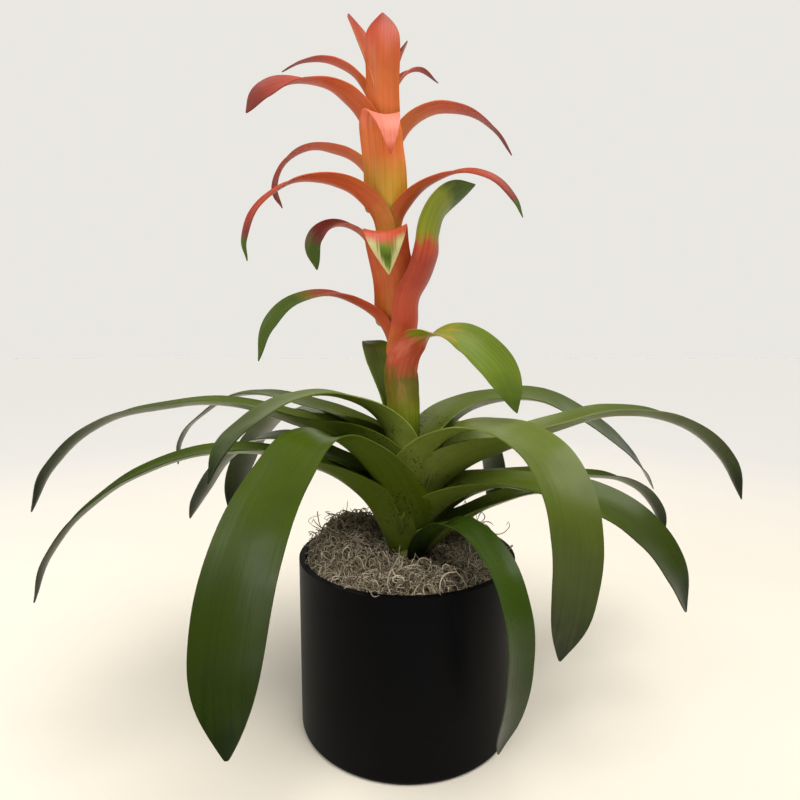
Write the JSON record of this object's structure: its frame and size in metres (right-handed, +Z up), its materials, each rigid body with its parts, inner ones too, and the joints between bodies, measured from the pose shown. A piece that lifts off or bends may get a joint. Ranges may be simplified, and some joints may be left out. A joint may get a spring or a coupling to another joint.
{
  "type": "potted bromeliad",
  "caption": "Potted bromeliad: arching green strap leaves around a tall spike of orange-red bracts, in a straight matt black ceramic pot topped with dry moss.",
  "frame": {"origin": "centre of the pot's flat base, on the surface that the pot stands on", "axes": "+Z up along the pot's axis; -Y is the front, which the camera looks at; +X is to the right as seen from the front"},
  "size_m": [0.5518, 0.3777, 0.5292],
  "materials": {
    "pot_glaze": "matt black glaze, faint satin sheen, brighter on the rounded lip",
    "grow_pot_plastic": "thin black moulded plastic",
    "potting_mix": "dark crumbly potting mix of bark and peat",
    "dry_moss": "dry grey-beige curled plant fibres, matt",
    "stalk": "yellow-green plant stem, satin",
    "leaf": "smooth waxy green strap leaf with fine lengthwise veins",
    "bract": "waxy orange-red bract, yellow at the base, some with green tips"
  },
  "bodies": {
    "root": {"ceramic_pot": "pot_glaze", "grow_pot": "grow_pot_plastic", "potting_mix": "potting_mix", "moss": "dry_moss", "flower_stalk": "stalk", "leaf_front": "leaf", "leaf_back": "leaf", "leaf_right_short": "leaf", "leaf_left_low": "leaf", "leaf_right_far": "leaf", "leaf_right_low": "leaf", "leaf_left_back": "leaf", "leaf_front_left": "leaf", "leaf_right_pale": "leaf", "leaf_back_right": "leaf", "leaf_left_long": "leaf", "leaf_front_right": "leaf", "leaf_back_left": "leaf", "leaf_left_arch": "leaf", "leaf_right_arch": "leaf", "leaf_left_high": "leaf", "bract_01_green_left": "bract", "bract_02_green_right": "bract", "bract_03_lower_right": "bract", "bract_04_lower_left": "bract", "bract_05_back_low": "bract", "bract_06_right_green": "bract", "bract_07_front_fold": "bract", "bract_08_left_curl": "bract", "bract_09_back_middle": "bract", "bract_10_right_long": "bract", "bract_11_left_long": "bract", "bract_12_right_sliver": "bract", "bract_13_left_arch": "bract", "bract_14_front_tall": "bract", "bract_15_back_high": "bract", "bract_16_right_arch": "bract", "bract_17_left_sweep": "bract", "bract_18_right_small": "bract", "bract_19_left_small": "bract", "bract_20_top_left": "bract", "bract_21_top_right": "bract", "bract_22_top_back": "bract", "bract_23_top_front": "bract"}
  },
  "joints": []
}
